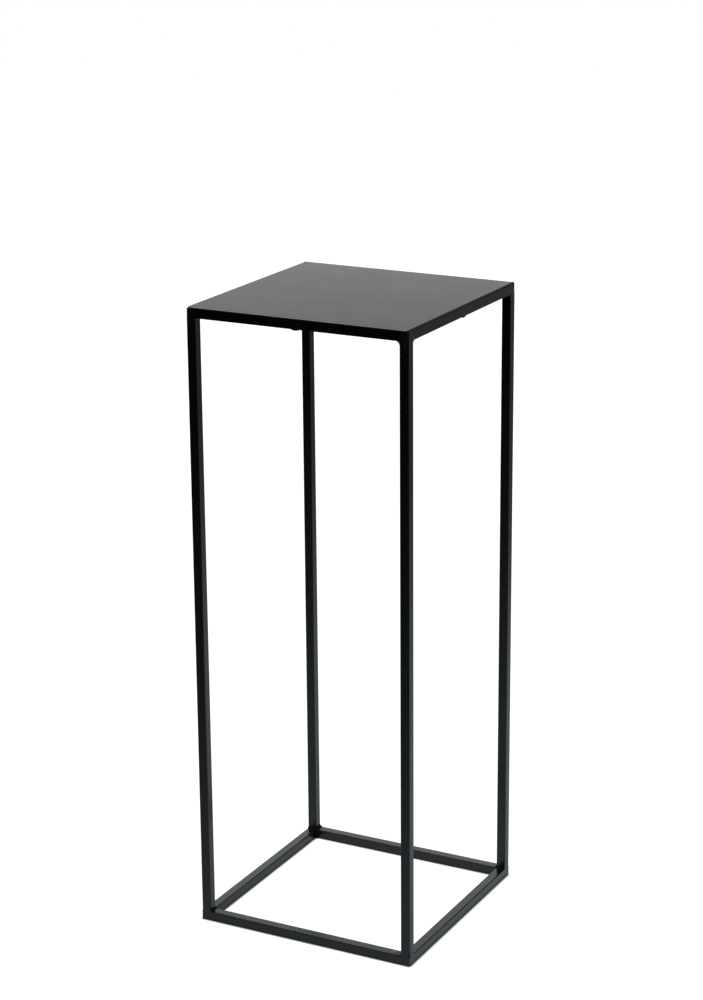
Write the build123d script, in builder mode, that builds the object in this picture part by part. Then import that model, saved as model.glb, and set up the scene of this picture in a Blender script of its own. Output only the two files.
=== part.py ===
"""Slim display plinth: a welded square-tube frame under a folded sheet tray.

Millimetres. +X is the right-hand side, +Y the back and +Z up. The origin is the middle
of the footprint, on the floor.
"""

import os

from build123d import *

# Overall size
width = 240.0
depth = 240.0
height = 650.0

# Square steel tube of the legs and of both frames
tube = 10.0
tube_wall = 1.0
tube_corner = 1.0  # outside corner radius
bore_corner = 0.3  # inside corner radius

# Folded sheet tray, one tube and one sheet thickness deep
sheet = 1.0
fold_radius = 2.0  # outside radius of the folded edges
ground_corner = 2.4  # outside radius of the tray's welded and ground corners
corner_notch = 3.0  # square cut out of the blank at each corner, which the seam weld fills

# Welds
top_fillet = 3.5  # leg length of the fillets under the tray
base_fillet = 2.2  # leg length of the fillets on the base frame
fillet_hollow = 0.38  # how near the middle of a fillet's face is to its root, over its leg length
tack_length = 10.0
tack_drop = 1.1  # how far a tack hangs below the skirt
tack_reach = 3.5  # from the skirt's outer face in across the rail's underside

# Levels and sections that follow from these
tube_bore = tube - 2 * tube_wall
skirt = tube + sheet
tray_level = height - skirt
leg_length = tray_level - tube
frame_width = width - 2 * sheet
frame_depth = depth - 2 * sheet

UP = (0, 0, 1)
DOWN = (0, 0, -1)

# Each side as the unit vector out to its middle and the direction it runs in, such that
# inwards is to the left of the run.
sides = {
    "front": ((0, -1), (1, 0, 0)),
    "right": ((1, 0), (0, 1, 0)),
    "back": ((0, 1), (-1, 0, 0)),
    "left": ((-1, 0), (0, -1, 0)),
}

# Each corner as its place in plan and the two directions inwards along its sides, the
# second a quarter turn to the left of the first.
corners = {
    "front_left": ((-1, -1), (1, 0, 0), (0, 1, 0)),
    "front_right": ((1, -1), (0, 1, 0), (-1, 0, 0)),
    "back_right": ((1, 1), (-1, 0, 0), (0, -1, 0)),
    "back_left": ((-1, 1), (0, -1, 0), (1, 0, 0)),
}

os.makedirs("parts", exist_ok=True)


def side_plane(side, outer_width, outer_depth, level):
    """Plane at the middle of a side's outer face: x along the side, y inwards."""
    (out_x, out_y), run = sides[side]
    middle = (out_x * outer_width / 2, out_y * outer_depth / 2, level)
    return Plane(origin=middle, x_dir=run, z_dir=UP)


def side_length(side, outer_width, outer_depth):
    """Outside length of a frame's or tray's side."""
    return outer_width if side in ("front", "back") else outer_depth


def outer_corner(corner, level):
    """Point on the plinth's outer vertical edge at a corner."""
    (out_x, out_y), _, _ = corners[corner]
    return (out_x * width / 2, out_y * depth / 2, level)


def bead_profile(size):
    """Adds the section of a hollow fillet weld, with its root at the sketch's origin."""
    hollow = fillet_hollow * size
    with BuildLine() as outline:
        face = ThreePointArc((size, 0), (hollow, hollow), (0, size))
        Polyline(face @ 1, (0, 0), face @ 0)
    make_face(outline.edges())


# Frame rails: square tube mitred at both ends, seen from above as a trapezium whose
# long edge is the outer face.
frames = {
    "base_rail": (width, depth, 0.0),
    "top_rail": (frame_width, frame_depth, tray_level),
}
for rail_name, (outer_width, outer_depth, level) in frames.items():
    for side in sides:
        outline = side_plane(side, outer_width, outer_depth, level)
        length = side_length(side, outer_width, outer_depth)
        centre_line = outline.from_local_coords((0, tube / 2, tube / 2))
        with BuildPart() as rail:
            with BuildSketch(Plane(origin=centre_line, x_dir=outline.y_dir, z_dir=outline.x_dir)):
                RectangleRounded(tube, tube, tube_corner)
                RectangleRounded(tube_bore, tube_bore, bore_corner, mode=Mode.SUBTRACT)
            extrude(amount=length / 2, both=True)
            with BuildSketch(outline):
                Trapezoid(length, tube, 45, align=(Align.CENTER, Align.MIN))
            extrude(amount=tube, mode=Mode.INTERSECT)
        rail.part.label = f"{rail_name}_{side}"
        export_step(rail.part, f"parts/{rail_name}_{side}.step")


# Legs: straight tube cut square, standing on the base frame under the top frame
for corner, ((out_x, out_y), _, _) in corners.items():
    with BuildPart() as leg:
        with BuildSketch(Plane.XY.offset(tube)):
            with Locations((out_x * (width - tube) / 2, out_y * (depth - tube) / 2)):
                RectangleRounded(tube, tube, tube_corner)
                RectangleRounded(tube_bore, tube_bore, bore_corner, mode=Mode.SUBTRACT)
        extrude(amount=leg_length)
    leg.part.label = f"leg_{corner}"
    export_step(leg.part, f"parts/leg_{corner}.step")


# The tray as one pan, its folded edges rounded outside and in. The inside corners stay
# square, because each fold ends at the notch cut out of the blank.
with BuildPart() as pan:
    with BuildSketch(Plane.XY.offset(tray_level)):
        RectangleRounded(width, depth, ground_corner)
    extrude(amount=skirt)
    fillet(pan.edges().group_by(Axis.Z)[-1], radius=fold_radius)
    with BuildSketch(Plane.XY.offset(tray_level)):
        Rectangle(frame_width, frame_depth)
    extrude(amount=tube, mode=Mode.SUBTRACT)
    inner_folds = pan.edges().filter_by_position(Axis.Z, height - sheet, height - sheet)
    fillet(inner_folds, radius=fold_radius - sheet)

# Tray: the pan with its corners notched, as the sheet is before it is welded
with BuildPart() as tray:
    add(pan)
    with BuildSketch(Plane.XY.offset(tray_level)):
        with GridLocations(width - corner_notch, depth - corner_notch, 2, 2):
            Rectangle(corner_notch, corner_notch)
    extrude(amount=skirt, mode=Mode.SUBTRACT)
tray.part.label = "tray"
export_step(tray.part, "parts/tray.step")

# Tray seam welds: the pan's corners, each a weld ground to the tray's shape
for corner, ((out_x, out_y), _, _) in corners.items():
    with BuildPart() as seam_weld:
        add(pan)
        with BuildSketch(Plane.XY.offset(tray_level)):
            with Locations((out_x * (width - corner_notch) / 2, out_y * (depth - corner_notch) / 2)):
                Rectangle(corner_notch, corner_notch)
        extrude(amount=skirt, mode=Mode.INTERSECT)
    seam_weld.part.label = f"tray_seam_weld_{corner}"
    export_step(seam_weld.part, f"parts/tray_seam_weld_{corner}.step")


# Tack welds: a lens of weld at the middle of each side, under the skirt's edge and the
# rail behind it
for side in sides:
    skirt_edge = side_plane(side, width, depth, tray_level)
    with BuildPart() as tack:
        with BuildSketch(Plane(origin=skirt_edge.origin, x_dir=skirt_edge.x_dir, z_dir=-skirt_edge.y_dir)):
            with BuildLine():
                toes = Line((-tack_length / 2, 0), (tack_length / 2, 0))
                ThreePointArc(toes @ 0, (0, -tack_drop), toes @ 1)
            make_face()
        extrude(amount=-tack_reach)
    tack.part.label = f"tray_tack_weld_{side}"
    export_step(tack.part, f"parts/tray_tack_weld_{side}.step")


# Base seam welds: where a leg's square end stands over the rounded top edges of two base
# rails, weld fills the groove along both outer faces and is ground flush.
for corner, (_, first, _) in corners.items():
    joint = Plane(origin=outer_corner(corner, tube), x_dir=first, z_dir=UP)
    groove_start = joint.from_local_coords((tube, 0, 0))
    groove_end = joint.from_local_coords((0, tube, 0))
    with BuildPart() as base_seam:
        with BuildLine():
            Polyline(groove_start, joint.origin, groove_end)
        with BuildSketch(Plane(origin=groove_start, x_dir=joint.y_dir, z_dir=joint.x_dir)):
            Rectangle(tube_corner, tube_corner, align=(Align.MIN, Align.MAX))
            with Locations((tube_corner, -tube_corner)):
                Circle(tube_corner, mode=Mode.SUBTRACT)
        sweep(transition=Transition.RIGHT)
    base_seam.part.label = f"base_seam_weld_{corner}"
    export_step(base_seam.part, f"parts/base_seam_weld_{corner}.step")


# Fillet welds: a bead along both inner faces of each leg where it meets the frame, and
# down the inner corner between the two rails. Each is built on a plane with its origin
# where the leg's outer edge meets the frame and z along the leg, away from the frame.
fillets = {
    "base_fillet_weld": (tube, UP, base_fillet, 0.0),
    "top_fillet_weld": (tray_level, DOWN, top_fillet, sheet),
}
for weld_name, (level, away, size, inset) in fillets.items():
    for corner, (_, first, second) in corners.items():
        along = first if away == UP else second
        joint = Plane(origin=outer_corner(corner, level), x_dir=along, z_dir=away)
        bead_start = joint.from_local_coords((tube, tube_corner, 0))
        bead_end = joint.from_local_coords((tube_corner, tube, 0))
        leg_edge = Axis(joint.from_local_coords((tube, tube, 0)), joint.z_dir)
        rail_corner = Plane(
            origin=joint.from_local_coords((tube + inset, tube + inset, 0)),
            x_dir=joint.x_dir,
            z_dir=joint.z_dir,
        )
        rail_bead = size - 2 * inset
        with BuildPart() as fillet_weld:
            with BuildSketch(Plane(origin=bead_start, x_dir=joint.x_dir, z_dir=-joint.y_dir)):
                bead_profile(size)
            extrude(amount=-(tube - tube_corner))
            with BuildSketch(Plane(origin=bead_end, x_dir=joint.y_dir, z_dir=joint.x_dir)):
                bead_profile(size)
            extrude(amount=tube - tube_corner)
            with BuildSketch(Plane(origin=leg_edge.position, x_dir=joint.x_dir, z_dir=-joint.y_dir)):
                bead_profile(size)
            revolve(axis=leg_edge, revolution_arc=90)
            with BuildSketch(rail_corner):
                bead_profile(rail_bead)
            extrude(amount=-(tube - tube_corner))
        fillet_weld.part.label = f"{weld_name}_{corner}"
        export_step(fillet_weld.part, f"parts/{weld_name}_{corner}.step")
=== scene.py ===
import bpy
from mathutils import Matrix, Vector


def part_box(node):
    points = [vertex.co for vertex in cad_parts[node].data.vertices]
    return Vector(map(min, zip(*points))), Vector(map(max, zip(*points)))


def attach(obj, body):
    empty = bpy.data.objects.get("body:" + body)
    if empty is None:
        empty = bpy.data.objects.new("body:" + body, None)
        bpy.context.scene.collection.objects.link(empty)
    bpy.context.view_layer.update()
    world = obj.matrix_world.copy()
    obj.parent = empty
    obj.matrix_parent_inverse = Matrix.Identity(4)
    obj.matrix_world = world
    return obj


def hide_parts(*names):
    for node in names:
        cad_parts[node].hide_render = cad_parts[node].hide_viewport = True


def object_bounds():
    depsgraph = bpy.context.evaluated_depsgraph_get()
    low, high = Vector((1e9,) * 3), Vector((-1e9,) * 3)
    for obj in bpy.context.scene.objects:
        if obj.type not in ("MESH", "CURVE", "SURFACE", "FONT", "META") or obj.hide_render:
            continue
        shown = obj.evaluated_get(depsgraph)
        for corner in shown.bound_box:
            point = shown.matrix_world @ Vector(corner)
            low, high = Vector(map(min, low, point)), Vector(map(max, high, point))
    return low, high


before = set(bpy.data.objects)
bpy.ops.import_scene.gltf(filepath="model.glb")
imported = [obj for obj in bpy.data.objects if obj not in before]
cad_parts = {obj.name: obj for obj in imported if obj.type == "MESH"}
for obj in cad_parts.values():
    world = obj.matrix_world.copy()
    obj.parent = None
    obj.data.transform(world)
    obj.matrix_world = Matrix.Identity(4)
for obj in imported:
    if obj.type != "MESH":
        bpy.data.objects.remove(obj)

"""The looks of a slim display plinth: satin black powder coat over welded steel tube and a
folded sheet tray, on a pale studio floor. Everything is in metres, in the CAD frame."""

import math

import bpy
from mathutils import Quaternion, Vector, noise

MM = 0.001
cad_low, cad_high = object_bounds()

CORNERS = ("front_left", "front_right", "back_right", "back_left")
SIDES = ("front", "right", "back", "left")

# Driving dimensions, read from the frame but for the tray's fold
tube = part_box("base_rail_front")[1].z
half_width = cad_high.x
half_depth = cad_high.y
top = cad_high.z
tray_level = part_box("tray")[0].z
fold_radius = 2.0 * MM

# Marks at the foot of the front right leg: a lumpy run on the front rail and a short groove
# just round the corner
run_place = (half_width - 15 * MM, -half_depth + 4 * MM, tube)
groove_place = (half_width, -half_depth + 0.9 * MM, tube + 2.0 * MM)


def out_signs(corner):
    """Which way is outwards at a corner, as +1 or -1 along X and along Y."""
    return (1 if "right" in corner else -1), (1 if "back" in corner else -1)


# ---------------------------------------------------------------- materials

def node(tree, kind, **values):
    """Adds a shader node; values are its properties."""
    made = tree.nodes.new(kind)
    for name, value in values.items():
        setattr(made, name, value)
    return made


def noise_texture(tree, place, scale, detail=2.0, rough=0.5):
    """Noise of so many features per metre, over the object's own coordinates."""
    texture = node(tree, "ShaderNodeTexNoise")
    texture.inputs["Scale"].default_value = scale
    texture.inputs["Detail"].default_value = detail
    texture.inputs["Roughness"].default_value = rough
    tree.links.new(place, texture.inputs["Vector"])
    return texture.outputs["Fac"]


def spread(tree, value, low_in, high_in, low_out, high_out):
    """Maps a value from one range to another, clamped."""
    mapped = node(tree, "ShaderNodeMapRange")
    tree.links.new(value, mapped.inputs["Value"])
    mapped.inputs["From Min"].default_value = low_in
    mapped.inputs["From Max"].default_value = high_in
    mapped.inputs["To Min"].default_value = low_out
    mapped.inputs["To Max"].default_value = high_out
    return mapped.outputs["Result"]


def maths(tree, operation, first, second=0.0):
    """A Math node on two sockets, or on a socket and a number."""
    made = node(tree, "ShaderNodeMath", operation=operation)
    for socket, value in zip(made.inputs, (first, second)):
        if isinstance(value, (int, float)):
            socket.default_value = value
        else:
            tree.links.new(value, socket)
    return made.outputs["Value"]


def vector_maths(tree, operation, first, second):
    """A Vector Math node on a socket and either another one or a constant vector."""
    made = node(tree, "ShaderNodeVectorMath", operation=operation)
    tree.links.new(first, made.inputs[0])
    if isinstance(second, tuple):
        made.inputs[1].default_value = second
    else:
        tree.links.new(second, made.inputs[1])
    return made.outputs["Value" if operation == "DISTANCE" else "Vector"]


def bump(tree, height, depth, after=None):
    """A bump so many metres deep, on top of another one."""
    made = node(tree, "ShaderNodeBump")
    made.inputs["Distance"].default_value = depth
    made.inputs["Strength"].default_value = 1.0
    tree.links.new(height, made.inputs["Height"])
    if after is not None:
        tree.links.new(after, made.inputs["Normal"])
    return made.outputs["Normal"]


def near(tree, place, point, inner, outer, squash=1.0):
    """1 within the inner distance of a point and 0 beyond the outer one. Upright distances
    count for squash times their length."""
    offset = vector_maths(tree, "SUBTRACT", place, point)
    squashed = vector_maths(tree, "MULTIPLY", offset, (1.0, 1.0, squash))
    distance = node(tree, "ShaderNodeVectorMath", operation="LENGTH")
    tree.links.new(squashed, distance.inputs[0])
    return spread(tree, distance.outputs["Value"], inner, outer, 1.0, 0.0)


def spatter_bump(tree, place, welded, after):
    """Beads of spatter under the coat, near the welds under the tray."""
    beads = spread(tree, noise_texture(tree, place, 850.0, 1.0), 0.60, 0.74, 0.0, 1.0)
    return bump(tree, maths(tree, "MULTIPLY", beads, welded), 0.24 * MM, after)


def ripple_bump(tree, place, corner, after):
    """Faint ripples across the legs, just below the tray."""
    ripples = node(tree, "ShaderNodeTexWave", wave_type="BANDS", bands_direction="Z")
    tree.links.new(place, ripples.inputs["Vector"])
    ripples.inputs["Scale"].default_value = 105.0
    ripples.inputs["Distortion"].default_value = 1.5
    ripples.inputs["Detail"].default_value = 1.0
    ripples.inputs["Detail Scale"].default_value = 3.0
    return bump(tree, maths(tree, "MULTIPLY", ripples.outputs["Fac"], corner), 0.12 * MM, after)


def run_bump(tree, place, after):
    """A lumpy run of weld on the front base rail."""
    run = near(tree, place, run_place, 3 * MM, 8 * MM)
    lumps = maths(tree, "MULTIPLY", noise_texture(tree, place, 330.0, 1.0), run)
    return bump(tree, lumps, 1.0 * MM, after)


def groove_bump(tree, place, after):
    """A short, ragged, upright groove at the foot of the front right leg."""
    pit = near(tree, place, groove_place, 0.5 * MM, 3.4 * MM, squash=0.7)
    ragged = maths(tree, "MULTIPLY", noise_texture(tree, place, 620.0, 2.0), 0.8)
    groove = spread(tree, maths(tree, "SUBTRACT", pit, ragged), -0.05, 0.45, 0.0, 1.0)
    return bump(tree, maths(tree, "SUBTRACT", 1.0, groove), 2.4 * MM, after)


def weld_marks(tree, place, after):
    """Bumps around the welds. The tray's corners and sides are alike, so the marks there are
    placed on coordinates folded into one quarter."""
    quarter = node(tree, "ShaderNodeVectorMath", operation="ABSOLUTE")
    tree.links.new(place, quarter.inputs[0])
    folded = quarter.outputs["Vector"]
    corner = near(tree, folded, (half_width, half_depth, tray_level), 6 * MM, 13 * MM)
    front_tack = near(tree, folded, (0.0, half_depth, tray_level), 4 * MM, 8 * MM)
    side_tack = near(tree, folded, (half_width, 0.0, tray_level), 4 * MM, 8 * MM)
    welded = maths(tree, "MAXIMUM", corner, maths(tree, "MAXIMUM", front_tack, side_tack))
    spattered = spatter_bump(tree, place, welded, after)
    rippled = ripple_bump(tree, place, corner, spattered)
    lumpy = run_bump(tree, place, rippled)
    return groove_bump(tree, place, lumpy)


def powder_coat(name, roughness, peel, wave, grain=1.0, ior=1.5):
    """Satin black powder coat: orange peel, a finer grain, and slow waves in the metal under
    it. peel and wave are depths in metres, and grain scales the finer grain."""
    material = bpy.data.materials.new(name)
    material.use_nodes = True
    tree = material.node_tree
    shader = tree.nodes["Principled BSDF"]
    place = node(tree, "ShaderNodeTexCoord").outputs["Object"]

    tone = spread(tree, noise_texture(tree, place, 45.0, 4.0), 0.3, 0.7, 0.0, 1.0)
    colour = node(tree, "ShaderNodeMix", data_type="RGBA")
    colour.inputs["A"].default_value = (0.0020, 0.0024, 0.0025, 1.0)
    colour.inputs["B"].default_value = (0.0034, 0.0039, 0.0041, 1.0)
    tree.links.new(tone, colour.inputs["Factor"])
    tree.links.new(colour.outputs["Result"], shader.inputs["Base Color"])

    patches = noise_texture(tree, place, 28.0, 5.0, 0.6)
    specks = noise_texture(tree, place, 2600.0, 1.0)
    gloss = maths(tree, "ADD", spread(tree, patches, 0.3, 0.7, roughness - 0.02, roughness + 0.02),
                  spread(tree, specks, 0.3, 0.7, -0.03, 0.03))
    tree.links.new(gloss, shader.inputs["Roughness"])
    shader.inputs["IOR"].default_value = ior

    slow = bump(tree, noise_texture(tree, place, 14.0, 1.0), wave)
    orange_peel = bump(tree, noise_texture(tree, place, 700.0, 2.0), peel, slow)
    fine = bump(tree, noise_texture(tree, place, 4200.0, 1.0), 0.0025 * MM * grain, orange_peel)
    tree.links.new(weld_marks(tree, place, fine), shader.inputs["Normal"])
    return material


tray_coat = powder_coat("tray_coat", roughness=0.24, peel=0.010 * MM, wave=0.02 * MM)
frame_coat = powder_coat("frame_coat", roughness=0.26, peel=0.012 * MM, wave=0.05 * MM)
weld_coat = powder_coat("weld_coat", roughness=0.30, peel=0.018 * MM, wave=0.0, grain=1.5)
# A rougher copy of the weld coat. Its lower reflection (IOR 1.25) is painted shade, standing in for the
# shade in the crevices of the welds at the legs' feet.
rough_painted_shade_weld_coat = powder_coat("rough_painted_shade_weld_coat", roughness=0.55, peel=0.030 * MM, wave=0.0, grain=2.0,
                             ior=1.25)


# ---------------------------------------------------------------- welds

def refined(cad_node, name, voxel):
    """A new object with the CAD node's shape remeshed in even, small faces."""
    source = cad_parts[cad_node]
    piece = bpy.data.objects.new(name, source.data.copy())
    bpy.context.scene.collection.objects.link(piece)
    remesh = piece.modifiers.new("remesh", "REMESH")
    remesh.mode = "VOXEL"
    remesh.voxel_size = voxel
    graph = bpy.context.evaluated_depsgraph_get()
    mesh = bpy.data.meshes.new_from_object(piece.evaluated_get(graph))
    piece.modifiers.clear()
    piece.data = mesh
    mesh.materials.clear()
    for face in mesh.polygons:
        face.use_smooth = True
    return piece


def clamp_to_box(point):
    """Keeps a point inside the CAD model's box."""
    return Vector(min(max(value, low), high) for value, low, high in zip(point, cad_low, cad_high))


def unchanged(point):
    """The shape of a weld that is only swollen and lumpy."""
    return point


def weld_piece(cad_node, voxel, swell, lump, lump_size, seed, shape=unchanged, coat=weld_coat):
    """Puts a lumpy weld in place of a CAD one. swell sinks it into the metal beside it, lump is
    how far its surface rises and falls over lump_size, and shape moves its points last."""
    piece = refined(cad_node, cad_node + "_bead", voxel)
    piece.data.materials.append(coat)
    shift = Vector((seed * 7.3, seed * 3.1, seed * 5.7))
    moved = []
    for vertex in piece.data.vertices:
        rise = noise.fractal(vertex.co / lump_size + shift, 0.8, 2.0, 3)
        point = vertex.co + vertex.normal * (swell + lump * rise)
        moved.append(clamp_to_box(shape(point)))
    for vertex, point in zip(piece.data.vertices, moved):
        vertex.co = point
    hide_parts(cad_node)
    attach(piece, "root")


def fold_inset(height, fold):
    """How far in from the skirt a rounded fold's outside is at a height."""
    rise = max(0.0, height - (top - fold))
    return fold - math.sqrt(max(0.0, fold ** 2 - rise ** 2))


def rounded_corner(corner, radius, fold):
    """Returns a function that pulls points in to a corner of that radius in plan, which turns
    inwards near the tray's top with the radius of the fold."""
    out_x, out_y = out_signs(corner)
    least_radius = 0.2 * MM

    def pull(point):
        inset = fold_inset(point.z, fold)
        reach = max(radius - inset, least_radius)
        centre = Vector((out_x * (half_width - inset - reach), out_y * (half_depth - inset - reach)))
        away = Vector((point.x, point.y)) - centre
        if away.x * out_x <= 0 or away.y * out_y <= 0 or away.length <= reach:
            return point
        away *= reach / away.length
        return Vector((centre.x + away.x, centre.y + away.y, point.z))

    return pull


def rough_corner(corner, fold):
    """Returns a function that only turns points inwards near the tray's top, along both sides."""
    out_x, out_y = out_signs(corner)

    def pull(point):
        inset = fold_inset(point.z, fold)
        x = min(point.x * out_x, half_width - inset)
        y = min(point.y * out_y, half_depth - inset)
        return Vector((out_x * x, out_y * y, point.z))

    return pull


def fillet_scaled(corner, factors):
    """Returns a function that scales a fillet under the tray about the inner faces of its leg
    and the rails' undersides, by its own factor along X, Y and Z."""
    out_x, out_y = out_signs(corner)
    inner_x, inner_y = half_width - tube, half_depth - tube

    def scale(point):
        if point.z > tray_level:
            return point
        x, y = point.x * out_x, point.y * out_y
        x = inner_x - (inner_x - x) * factors[0] if x < inner_x else x
        y = inner_y - (inner_y - y) * factors[1] if y < inner_y else y
        return Vector((x * out_x, y * out_y, tray_level - (tray_level - point.z) * factors[2]))

    return scale


# The front left corner's weld was left rough and proud.
SEAM_LOOKS = {
    "front_left": {"voxel": 0.15 * MM, "swell": 0.30 * MM, "lump": 0.45 * MM, "lump_size": 1.1 * MM,
                   "shape": rough_corner("front_left", 3.4 * MM)},
}
PLAIN_SEAM = {"voxel": 0.2 * MM, "swell": 0.25 * MM, "lump": 0.10 * MM, "lump_size": 1.6 * MM}
SEAM_RADIUS = 1.8 * MM

# The front right leg has the largest fillet at its top.
FILLET_FACTORS = {"front_right": (1.05, 1.5, 1.4)}
PLAIN_FILLET_FACTORS = (0.6, 0.6, 0.6)

# The back left leg has the heaviest weld at its foot, in the rough coat with painted shade.
FOOT_LOOKS = {
    "back_left": {"swell": 0.7 * MM, "lump": 0.40 * MM, "coat": rough_painted_shade_weld_coat},
    "front_right": {"swell": 0.3 * MM, "lump": 0.30 * MM, "coat": weld_coat},
}
# The plain feet are also in the rough coat with painted shade.
PLAIN_FOOT = {"swell": 0.05 * MM, "lump": 0.14 * MM, "coat": rough_painted_shade_weld_coat}

# Each kind of weld counts its seeds from a start of its own.
SEAM_SEED, FILLET_SEED, FOOT_SEED, TACK_SEED = 0, 10, 20, 30

for index, corner in enumerate(CORNERS):
    rounded = {**PLAIN_SEAM, "shape": rounded_corner(corner, SEAM_RADIUS, fold_radius)}
    weld_piece("tray_seam_weld_" + corner, seed=SEAM_SEED + index, **SEAM_LOOKS.get(corner, rounded))
    weld_piece("top_fillet_weld_" + corner, voxel=0.2 * MM, swell=0.06 * MM, lump=0.20 * MM,
               lump_size=2.0 * MM, seed=FILLET_SEED + index,
               shape=fillet_scaled(corner, FILLET_FACTORS.get(corner, PLAIN_FILLET_FACTORS)))
    weld_piece("base_fillet_weld_" + corner, voxel=0.2 * MM, lump_size=1.8 * MM,
               seed=FOOT_SEED + index, **FOOT_LOOKS.get(corner, PLAIN_FOOT))
for index, side in enumerate(SIDES):
    weld_piece("tray_tack_weld_" + side, voxel=0.15 * MM, swell=0.05 * MM, lump=0.16 * MM,
               lump_size=2.2 * MM, seed=TACK_SEED + index)

for name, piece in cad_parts.items():
    coat = tray_coat if name == "tray" else weld_coat if "weld" in name else frame_coat
    piece.material_slots[0].link = "OBJECT"
    piece.material_slots[0].material = coat


# ---------------------------------------------------------------- floor, light and camera

COOL = (0.87, 0.99, 1.06)
PALE = (0.97, 1.0, 1.0)

# Just below the base rails, so that their undersides don't lie in the floor's own plane
FLOOR_LEVEL = -0.1 * MM
FLOOR_WHITE = 1.15
CONTACT_REACH = 3 * MM

# The pool of light on the floor, as brightness against the distance from its middle over its reach
POOL_MIDDLE = (0.15, 0.35, 0.0)
POOL_REACH = 3.0
POOL = ((0.0, 0.68), (0.1, 0.62), (0.23, 0.42), (0.33, 0.24), (0.43, 0.12), (0.53, 0.07),
        (0.67, 0.045), (0.83, 0.02), (1.0, 0.0))

# The heading in which the right-hand faces reflect the camera's view
REFLECTED_X, REFLECTED_Y = 0.463, 0.886

# The room, as brightness against the upward part of the direction
ROOM = ((0.05, 0.0), (0.11, 0.40), (0.62, 0.40), (0.75, 0.28), (1.0, 0.28))
FLAG_DIRECTION = (0.20, 0.85, 0.46)

# The card, as brightness against the height up it
CARD_HEADING = (-0.469, 0.883, 0.0)
CARD_DISTANCE = 1.5
CARD_HALF_WIDTH = 0.42
CARD_LOW, CARD_HIGH = 0.35, 1.25
CARD = ((0.0, 0.88), (0.45, 1.0), (0.63, 0.66), (0.78, 0.42), (1.0, 0.25))
CARD_STRENGTH = 1.2

CAMERA_PLACE = (1.139, -2.174, 1.185)
CAMERA_AZIMUTH, CAMERA_ELEVATION, CAMERA_ROLL = 27.74, 16.93, -0.47
CAMERA_LENS = 91.6


def ramp(tree, value, stops, tint):
    """A tinted level that follows (value, level) stops, with values from 0 to 1."""
    made = node(tree, "ShaderNodeValToRGB")
    elements = made.color_ramp.elements
    while len(elements) < len(stops):
        elements.new(1.0)
    for element, (position, level) in zip(elements, stops):
        element.position = position
        element.color = (level * tint[0], level * tint[1], level * tint[2], 1.0)
    tree.links.new(value, made.inputs["Fac"])
    return made.outputs["Color"]


def choose(tree, factor, plain, chosen):
    """Mixes two colours, each a socket or a grey level."""
    mixed = node(tree, "ShaderNodeMix", data_type="RGBA")
    tree.links.new(factor, mixed.inputs["Factor"])
    for name, value in (("A", plain), ("B", chosen)):
        if isinstance(value, float):
            mixed.inputs[name].default_value = (value, value, value, 1.0)
        else:
            tree.links.new(value, mixed.inputs[name])
    return mixed.outputs["Result"]


def camera_ray(tree):
    """1 for what the camera sees directly, 0 for what shows in the coating."""
    return node(tree, "ShaderNodeLightPath").outputs["Is Camera Ray"]


def glowing_material(name):
    """An empty material with an emission shader; returns it and the shader."""
    material = bpy.data.materials.new(name)
    material.use_nodes = True
    tree = material.node_tree
    tree.nodes.clear()
    glow = node(tree, "ShaderNodeEmission")
    tree.links.new(glow.outputs["Emission"], node(tree, "ShaderNodeOutputMaterial").inputs["Surface"])
    return material, glow


def floor_light(tree, place):
    """What the coating reflects of the floor: a pool of light behind the plinth that fades into
    a dark room in front, with two brighter wings at the back left and the back right."""
    from_pool = vector_maths(tree, "DISTANCE", place, POOL_MIDDLE)
    pool = ramp(tree, spread(tree, from_pool, 0.0, POOL_REACH, 0.0, 1.0), POOL, COOL)
    split = node(tree, "ShaderNodeSeparateXYZ")
    tree.links.new(place, split.inputs["Vector"])
    x, y = split.outputs["X"], split.outputs["Y"]
    far = spread(tree, y, 0.9, 3.0, 0.0, 0.20)
    across = maths(tree, "SUBTRACT", maths(tree, "MULTIPLY", x, REFLECTED_Y),
                   maths(tree, "MULTIPLY", y, REFLECTED_X))
    off_line = maths(tree, "ABSOLUTE", across)
    wings = maths(tree, "MULTIPLY", spread(tree, off_line, 0.6, 1.1, 0.0, 0.6),
                  spread(tree, y, -0.4, 0.6, 0.0, 1.0))
    return vector_maths(tree, "ADD", pool, maths(tree, "ADD", far, wings))


def make_floor():
    """Pale studio floor, overexposed to white for the camera but for the contact shadow."""
    bpy.ops.mesh.primitive_circle_add(vertices=128, radius=6.0, fill_type="NGON",
                                      location=(0.0, 0.0, FLOOR_LEVEL))
    floor = bpy.context.object
    floor.name = "floor"
    material, glow = glowing_material("floor_white")
    tree = material.node_tree
    lit = floor_light(tree, node(tree, "ShaderNodeTexCoord").outputs["Object"])
    contact = node(tree, "ShaderNodeAmbientOcclusion", samples=8)
    contact.inputs["Distance"].default_value = CONTACT_REACH
    shadow = maths(tree, "POWER", contact.outputs["AO"], 3.0)
    shaded = vector_maths(tree, "MULTIPLY", lit, shadow)
    seen = maths(tree, "MULTIPLY", shadow, FLOOR_WHITE)
    tree.links.new(choose(tree, camera_ray(tree), shaded, seen), glow.inputs["Color"])
    floor.data.materials.append(material)


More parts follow.
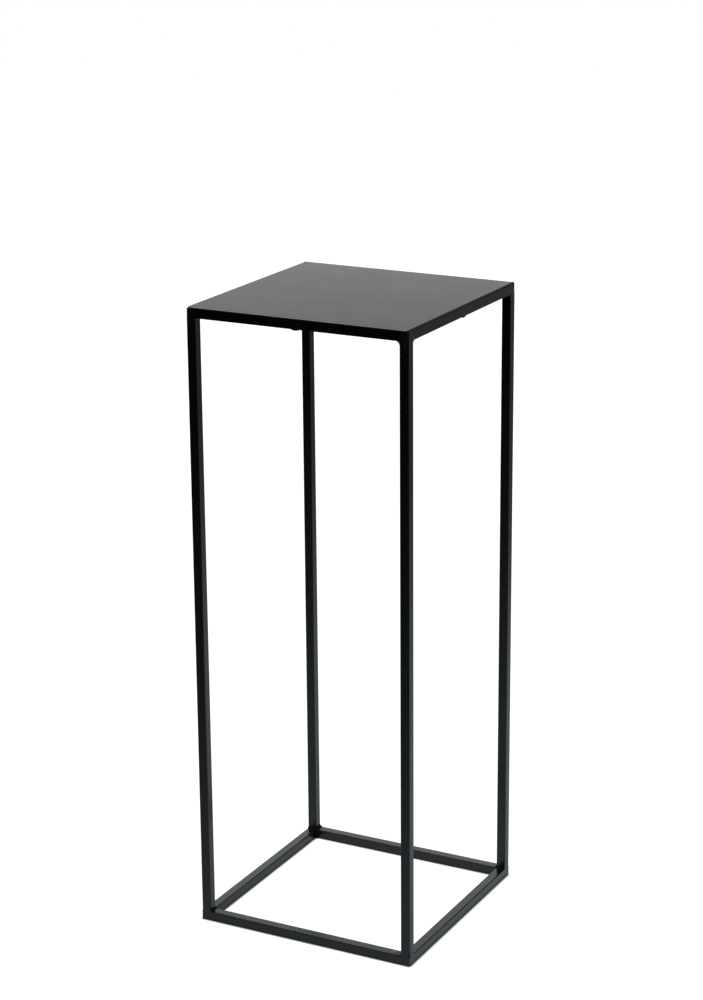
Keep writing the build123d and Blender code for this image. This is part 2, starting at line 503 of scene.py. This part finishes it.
def make_world():
    """White to the camera. The coating reflects a dim room, brighter at the back but for a dark
    flag high up there, which shows in the rounded edges between tops and right-hand faces."""
    world = bpy.data.worlds.new("studio")
    bpy.context.scene.world = world
    world.use_nodes = True
    tree = world.node_tree
    direction = node(tree, "ShaderNodeTexCoord").outputs["Generated"]
    split = node(tree, "ShaderNodeSeparateXYZ")
    tree.links.new(direction, split.inputs["Vector"])
    room = ramp(tree, split.outputs["Z"], ROOM, COOL)
    back = spread(tree, split.outputs["Y"], -0.1, 0.4, 0.36, 1.0)
    flag = spread(tree, vector_maths(tree, "DISTANCE", direction, FLAG_DIRECTION), 0.30, 0.42, 0.50, 1.0)
    lit = vector_maths(tree, "MULTIPLY", room, maths(tree, "MULTIPLY", back, flag))
    tree.links.new(choose(tree, camera_ray(tree), lit, 1.0), tree.nodes["Background"].inputs["Color"])


def make_card():
    """A bright reflector card at the back left, unseen by the camera, brightest low down. The
    tops of the tray and of the base rails reflect it."""
    heading = Vector(CARD_HEADING)
    across = Vector((heading.y, -heading.x, 0.0)) * CARD_HALF_WIDTH
    foot = heading * CARD_DISTANCE
    near_end, far_end = foot - across, foot + across
    points = ((near_end.x, near_end.y, CARD_LOW), (far_end.x, far_end.y, CARD_LOW),
              (far_end.x, far_end.y, CARD_HIGH), (near_end.x, near_end.y, CARD_HIGH))
    mesh = bpy.data.meshes.new("card")
    mesh.from_pydata(points, [], [(0, 1, 2, 3)])
    card = bpy.data.objects.new("card", mesh)
    card.visible_camera = False
    bpy.context.scene.collection.objects.link(card)
    material, glow = glowing_material("card_light")
    tree = material.node_tree
    split = node(tree, "ShaderNodeSeparateXYZ")
    tree.links.new(node(tree, "ShaderNodeTexCoord").outputs["Object"], split.inputs["Vector"])
    height = spread(tree, split.outputs["Z"], CARD_LOW, CARD_HIGH, 0.0, 1.0)
    tree.links.new(ramp(tree, height, CARD, PALE), glow.inputs["Color"])
    glow.inputs["Strength"].default_value = CARD_STRENGTH
    mesh.materials.append(material)


def area_light(name, place, target, width, height, radiance):
    """A soft rectangular light, unseen by the camera, of a given brightness."""
    data = bpy.data.lights.new(name, "AREA")
    data.shape = "RECTANGLE"
    data.size = width
    data.size_y = height
    data.energy = radiance * math.pi * width * height
    light = bpy.data.objects.new(name, data)
    light.location = place
    light.rotation_mode = "QUATERNION"
    light.rotation_quaternion = (Vector(target) - Vector(place)).to_track_quat("-Z", "Y")
    light.visible_camera = False
    bpy.context.scene.collection.objects.link(light)


def make_camera():
    """Camera in front and to the right, well above the tray, looking down at the plinth."""
    azimuth, elevation = math.radians(CAMERA_AZIMUTH), math.radians(CAMERA_ELEVATION)
    roll = math.radians(CAMERA_ROLL)
    data = bpy.data.cameras.new("camera")
    data.sensor_width = 36.0
    data.lens = CAMERA_LENS
    camera = bpy.data.objects.new("camera", data)
    back = Vector((math.sin(azimuth) * math.cos(elevation),
                   -math.cos(azimuth) * math.cos(elevation), math.sin(elevation)))
    camera.location = CAMERA_PLACE
    camera.rotation_mode = "QUATERNION"
    camera.rotation_quaternion = (-back).to_track_quat("-Z", "Y") @ Quaternion((0, 0, 1), roll)
    bpy.context.scene.collection.objects.link(camera)
    bpy.context.scene.camera = camera


make_floor()
make_world()
make_card()
area_light("softbox", place=(-0.6, -0.05, 1.5), target=(-0.6, -0.05, 0.0), width=0.9, height=0.8,
           radiance=4.8)
make_camera()
bpy.context.scene.view_settings.view_transform = "Standard"
